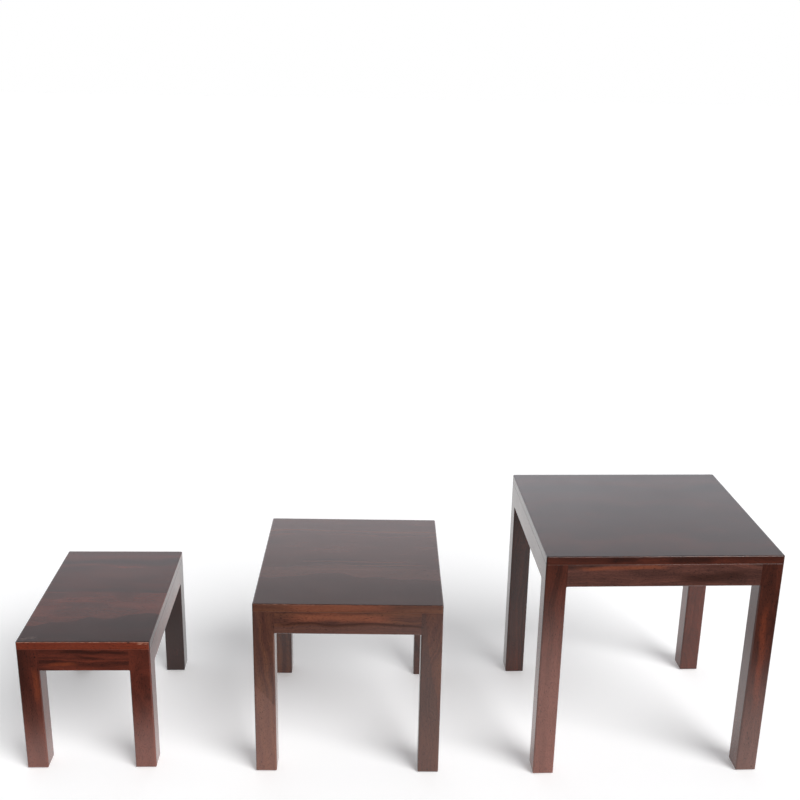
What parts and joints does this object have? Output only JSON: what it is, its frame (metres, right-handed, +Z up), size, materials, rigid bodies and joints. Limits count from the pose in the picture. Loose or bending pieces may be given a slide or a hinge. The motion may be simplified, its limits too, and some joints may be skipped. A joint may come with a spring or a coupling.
{
  "type": "nesting tables",
  "caption": "Nest of square-legged side tables in dark stained solid wood, each with a flush top on an apron frame, standing side by side; each smaller one fits under the next.",
  "frame": {"origin": "on the floor, under the middle of the box that the row of three tables fills", "axes": "+X along the row from the small table to the large one, -Y towards the fronts, +Z up"},
  "size_m": [1.5478, 0.4492, 0.508],
  "materials": {
    "stained_top": "rosewood boards, dark mahogany stain, semi-gloss lacquer",
    "stained_leg": "rosewood, dark mahogany stain, semi-gloss lacquer, grain upright",
    "stained_apron": "rosewood, dark mahogany stain, semi-gloss lacquer, grain along the apron",
    "corner_block_wood": "plain hardwood offcut, sawn and unlacquered",
    "screw_steel": "zinc plated, yellow passivated"
  },
  "bodies": {
    "large_table": {"large_top_front_board": "stained_top", "large_top_second_board": "stained_top", "large_top_third_board": "stained_top", "large_top_back_board": "stained_top", "large_front_left_leg": "stained_leg", "large_front_right_leg": "stained_leg", "large_back_left_leg": "stained_leg", "large_back_right_leg": "stained_leg", "large_front_apron": "stained_apron", "large_back_apron": "stained_apron", "large_left_apron": "stained_apron", "large_right_apron": "stained_apron", "large_corner_blocks": "corner_block_wood", "large_leg_screws": "screw_steel", "large_top_screws": "screw_steel"},
    "medium_table": {"medium_top_front_board": "stained_top", "medium_top_second_board": "stained_top", "medium_top_third_board": "stained_top", "medium_top_back_board": "stained_top", "medium_front_left_leg": "stained_leg", "medium_front_right_leg": "stained_leg", "medium_back_left_leg": "stained_leg", "medium_back_right_leg": "stained_leg", "medium_front_apron": "stained_apron", "medium_back_apron": "stained_apron", "medium_left_apron": "stained_apron", "medium_right_apron": "stained_apron", "medium_corner_blocks": "corner_block_wood", "medium_leg_screws": "screw_steel", "medium_top_screws": "screw_steel"},
    "small_table": {"small_top_front_board": "stained_top", "small_top_second_board": "stained_top", "small_top_third_board": "stained_top", "small_top_back_board": "stained_top", "small_front_left_leg": "stained_leg", "small_front_right_leg": "stained_leg", "small_back_left_leg": "stained_leg", "small_back_right_leg": "stained_leg", "small_front_apron": "stained_apron", "small_back_apron": "stained_apron", "small_left_apron": "stained_apron", "small_right_apron": "stained_apron", "small_corner_blocks": "corner_block_wood", "small_leg_screws": "screw_steel", "small_top_screws": "screw_steel"}
  },
  "joints": [
    {"name": "medium_table_slide", "type": "slide", "parent": "large_table", "child": "medium_table", "axis": [-0.0227, -0.9997, 0], "range_m": [0, 0.42]},
    {"name": "small_table_slide", "type": "slide", "parent": "large_table", "child": "small_table", "axis": [0, -1, 0], "range_m": [0, 0.42]}
  ]
}
